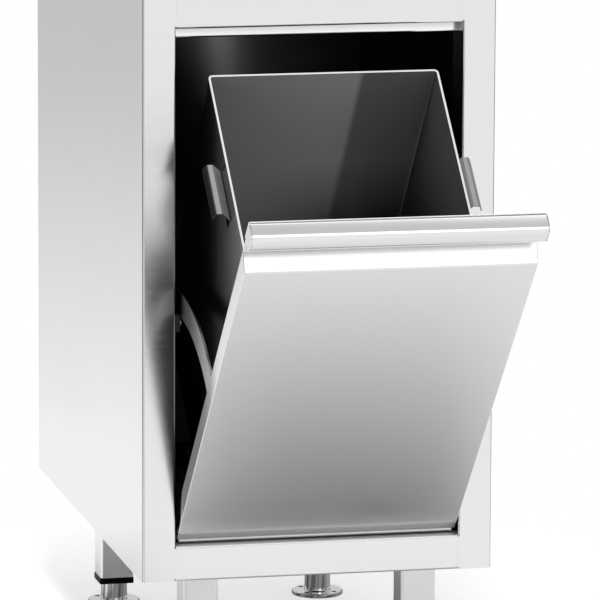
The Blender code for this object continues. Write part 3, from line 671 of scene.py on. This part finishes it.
def add_piece(name, bodies, material, body, edge=SHEET_EDGE / 2):
    """One piece made of closed bodies that rides on a CAD body."""
    points = []
    faces = []
    for some_points, some_faces in bodies:
        faces += [tuple(index + len(points) for index in face) for face in some_faces]
        points += some_points
    mesh = bpy.data.meshes.new(name)
    mesh.from_pydata(points, [], faces)
    shape = bmesh.new()
    shape.from_mesh(mesh)
    bmesh.ops.recalc_face_normals(shape, faces=shape.faces)
    shape.to_mesh(mesh)
    shape.free()
    item = bpy.data.objects.new(name, mesh)
    bpy.context.scene.collection.objects.link(item)
    finish_edges(item, material, edge)
    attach(item, body)


def middle_of(name):
    """Middle of a CAD node's box."""
    low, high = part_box(name)
    return (low + high) / 2


def add_bolts():
    """Four low round screw heads under each leg plate."""
    for leg in LEGS:
        middle = middle_of(f"leg_{leg}")
        middle.z = PLATE_BOTTOM - PIECE_GAP
        bodies = []
        for side in (-1, 1):
            for end in (-1, 1):
                base = middle + BOLT_OFFSET * (side * X_AXIS + end * Y_AXIS)
                bodies.append(head(BOLT_PROFILE, base, X_AXIS, Y_AXIS, -Z_AXIS))
        add_piece(f"leg_bolts_{leg}", bodies, bright, "cabinet")


def bead_route(half):
    """Stations round a leg: the turn of its face, the place along the face and the bend round the corner."""
    straight = half - LEG_CORNER
    route = []
    for quarter in range(4):
        turn = quarter * pi / 2
        for step in range(BEAD_STEPS):
            route.append((turn, straight - 2 * straight * step / BEAD_STEPS, 0.0))
        for step in range(BEAD_CORNER_STEPS):
            route.append((turn, -straight, -pi / 2 * step / BEAD_CORNER_STEPS))
    return route


def add_beads():
    """Weld bead round the top of each leg, with a slight ripple."""
    for leg in LEGS:
        middle = middle_of(f"leg_{leg}")
        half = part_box(f"leg_{leg}")[1].x - middle.x
        rings = []
        for number, (turn, along, bend) in enumerate(bead_route(half)):
            ripple = 1 + BEAD_RIPPLE / BEAD_PROFILE[1][0] * (1 if number % 2 else -1)
            ring = []
            for offset, drop in BEAD_PROFILE:
                reach = LEG_CORNER + offset * ripple
                here = Vector((half - LEG_CORNER + reach * cos(bend), along + reach * sin(bend), 0))
                here = Matrix.Rotation(-turn, 3, "Z") @ here
                ring.append((middle.x + here.x, middle.y + here.y, PLATE_BOTTOM - drop * ripple))
            rings.append(ring)
        add_piece(f"leg_weld_{leg}", [loft(rings, closed=True)], bright, "cabinet")


def add_rivets():
    """Rivet heads along both flanges of the back."""
    for word, side in SIDES.items():
        bodies = []
        for number in range(RIVET_COUNT):
            height = BOTTOM + RIVET_FIRST + RIVET_STEP * number
            base = Vector((side * (HALF_WIDTH - RIVET_INSET), SIDE_BACK + PIECE_GAP, height))
            bodies.append(head(RIVET_PROFILE, base, X_AXIS, Z_AXIS, Y_AXIS))
        add_piece(f"back_rivets_{word}", bodies, bright, "cabinet")


def add_seams():
    """Ground welds that fill the folds beside the ends of the front rails."""
    rails = [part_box(name) for name in ("bottom_rail", "top_rail")]
    rail_end = rails[0][1].x + SEAM_GAP
    fold = OPENING_HALF + FOLD_RADIUS
    for word, side in SIDES.items():
        outline = [(rail_end, FRONT_FACE), (fold, FRONT_FACE)]
        for step in range(SEAM_STEPS + 1):
            turn = pi / 2 * (1 - step / SEAM_STEPS)
            x = fold - (FOLD_RADIUS + SEAM_SINK) * cos(turn)
            outline.append((x, FRONT_FACE + FOLD_RADIUS + SEAM_SINK - FOLD_RADIUS * sin(turn)))
        outline.append((rail_end, FRONT_FACE + FOLD_RADIUS))
        bodies = []
        for low, high in rails:
            heights = (low.z + SEAM_INSET, high.z - SEAM_INSET)
            bodies.append(loft([[(side * x, y, z) for x, y in outline] for z in heights]))
        add_piece(f"rail_welds_{word}", bodies, upright, "cabinet", edge=0.0)


def add_roll():
    """Rolled lower edge of the front, with rounded ends."""
    hinge = middle_of("hinge_pin_left").yz
    middle = hinge + Matrix.Rotation(FRONT_TILT, 2) @ Vector(ROLL_PLACE)
    straight = ROLL_HALF - ROLL_END
    stations = ((-ROLL_HALF, ROLL_END_SHARE), (-straight, 1.0), (straight, 1.0), (ROLL_HALF, ROLL_END_SHARE))
    rings = []
    for x, share in stations:
        ring = circle(share * ROLL_RADIUS, ROLL_SIDES)
        rings.append([(x, middle.x + y, middle.y + z) for y, z in ring])
    add_piece("front_lower_roll", [loft(rings)], roll_steel, "front")


def floor_material():
    """Pale floor with the shadow near the object, white away from it, and darker in mirrors under a card."""
    shader = Shader("floor_white")
    away = shader.vectors("ABSOLUTE", shader.place)
    away = shader.vectors("SUBTRACT", away, SHADOW_HALF)
    away = shader.vectors("MAXIMUM", away, (0.0, 0.0, 0.0))
    distance = shader.vectors("LENGTH", away, result="Value")
    path = shader.add("ShaderNodeLightPath").outputs
    mirrored = shader.math("MAXIMUM", path["Is Glossy Ray"], path["Is Transmission Ray"])
    seen = shader.math("MAXIMUM", mirrored, path["Is Camera Ray"])
    white_part = shader.math("MULTIPLY", shader.rise(distance, 0.0, SHADOW_FADE), seen)
    card = shader.band(shader.azimuth(shader.split(shader.place)), FRONT_CARD, *CARD_SIZE)
    glow = shader.spread(shader.math("MULTIPLY", card, mirrored), 1.0, CARD_GLOW)
    near = shader.math("MULTIPLY", shader.math("SUBTRACT", 1.0, white_part), path["Is Camera Ray"])
    near = shader.math("MULTIPLY", near, FLOOR_LIFT)
    lift = shader.math("ADD", shader.math("MULTIPLY", white_part, glow), near)
    shader.set(Base_Color=shader.blend(white_part, grey(FLOOR_TONE), grey(0.0)), Roughness=FLOOR_ROUGH)
    shader.set(Specular_IOR_Level=0.0, Emission_Color=grey(1.0), Emission_Strength=lift)
    return shader.material


def make_floor():
    """Round floor under the object."""
    mesh = bpy.data.meshes.new("floor")
    mesh.from_pydata([(x, y, 0) for x, y in circle(FLOOR_RADIUS, FLOOR_SIDES)], [], [range(FLOOR_SIDES)])
    mesh.materials.append(floor_material())
    floor = bpy.data.objects.new("floor", mesh)
    bpy.context.scene.collection.objects.link(floor)


def studio_light(studio):
    """Light of the studio by direction: front, sides, back and top, with cards, softbox and roof light."""
    split = studio.split(studio.add("ShaderNodeTexCoord").outputs["Generated"])
    flat = studio.azimuth(split)
    behind = studio.blend(studio.rise(split["Z"], *BACK_RISE), grey(LOW_BACK_LIGHT), grey(BACK_LIGHT))
    behind = studio.blend(studio.rise(split["Z"], *DOWN_RISE), grey(DOWN_BACK_LIGHT), behind)
    ahead = studio.blend(studio.rise(split["Z"], *FRONT_RISE), grey(FRONT_LIGHT), grey(HIGH_FRONT_LIGHT))
    light = studio.blend(studio.rise(split["Y"], *FRONT_TO_SIDE), ahead, grey(SIDE_LIGHT))
    light = studio.blend(studio.rise(split["Y"], *SIDE_TO_BACK), light, behind)
    for angle, level in CARDS.items():
        light = studio.blend(studio.band(flat, angle, *CARD_SIZE), light, grey(level))
    softbox = studio.product(studio.band(flat, *SOFTBOX_ACROSS), studio.band(split["Z"], *SOFTBOX_HEIGHT))
    light = studio.blend(softbox, light, grey(SOFTBOX_LIGHT))
    light = studio.blend(studio.rise(split["Z"], *TOP_RISE), light, grey(TOP_LIGHT))
    roof = studio.product(studio.band(split["X"], *ROOF_ACROSS), studio.band(split["Y"], *ROOF_DEPTH))
    roof = studio.product(roof, studio.math("GREATER_THAN", split["Z"], 0.0))
    return studio.blend(roof, light, grey(ROOF_LIGHT))


def make_world():
    """Studio surroundings, which look white to the camera."""
    world = bpy.data.worlds.new("studio")
    world.use_nodes = True
    studio = Nodes(world.node_tree)
    light = studio_light(studio)
    path = studio.add("ShaderNodeLightPath").outputs
    shown = studio.math("MAXIMUM", path["Is Camera Ray"], path["Is Transmission Ray"])
    background = world.node_tree.nodes["Background"]
    studio.feed(background, "Color", studio.blend(shown, light, grey(1.0)))
    studio.feed(background, "Strength", studio.spread(path["Is Diffuse Ray"], 1.0, AMBIENT))
    bpy.context.scene.world = world


def make_key():
    """Soft rectangular lamp from the upper left, which leaves no reflection of its own."""
    data = bpy.data.lights.new("key", "AREA")
    data.shape = "RECTANGLE"
    data.size, data.size_y = KEY_SIZE
    data.energy = KEY_POWER
    lamp = bpy.data.objects.new("key", data)
    lamp.location = KEY_PLACE
    lamp.rotation_euler = (KEY_TARGET - KEY_PLACE).to_track_quat("-Z", "Y").to_euler()
    lamp.visible_glossy = False
    bpy.context.scene.collection.objects.link(lamp)


def make_camera():
    """Camera at the photograph's place."""
    data = bpy.data.cameras.new("camera")
    data.sensor_width = SENSOR
    data.lens = FOCAL_PIXELS * SENSOR / PICTURE_PIXELS
    data.clip_end = VIEW_END
    camera = bpy.data.objects.new("camera", data)
    turn = Matrix.Rotation(-CAMERA_YAW, 4, "Z")
    turn = turn @ Matrix.Rotation(radians(90) - CAMERA_PITCH, 4, "X")
    turn = turn @ Matrix.Rotation(CAMERA_ROLL, 4, "Z")
    camera.matrix_world = Matrix.Translation(CAMERA_PLACE) @ turn
    bpy.context.scene.collection.objects.link(camera)
    bpy.context.scene.camera = camera


add_bolts()
add_beads()
add_rivets()
add_seams()
add_roll()
make_floor()
make_world()
make_camera()
make_key()
bpy.context.scene.view_settings.view_transform = "Standard"
